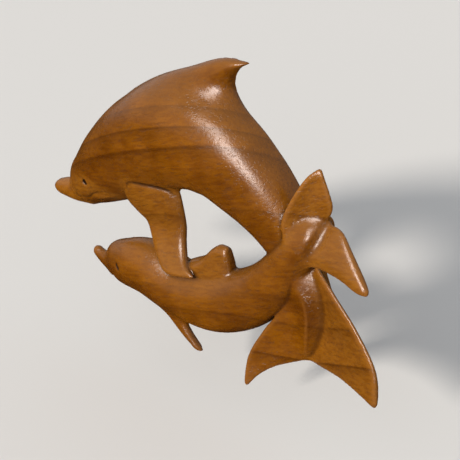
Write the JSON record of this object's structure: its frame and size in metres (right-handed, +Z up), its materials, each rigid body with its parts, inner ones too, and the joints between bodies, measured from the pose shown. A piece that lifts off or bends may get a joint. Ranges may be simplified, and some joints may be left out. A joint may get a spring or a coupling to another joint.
{
  "type": "wooden dolphin wall sculpture",
  "caption": "Flat-backed carved wood relief of a mother dolphin arched over her calf, to hang on a wall.",
  "frame": {"origin": "on the flat back, where it is fixed to the wall, behind the mother's upper body and above the centre of mass", "axes": "+X along the wall to the viewer's right, from the mother's beak towards her fluke, +Y into the wall, out of the flat back, +Z up"},
  "size_m": [0.3307, 0.0476, 0.2341],
  "materials": {
    "wood": "warm orange-brown hardwood with faint growth rings under satin varnish"
  },
  "bodies": {
    "root": {"dolphin_carving": "wood"}
  },
  "joints": []
}
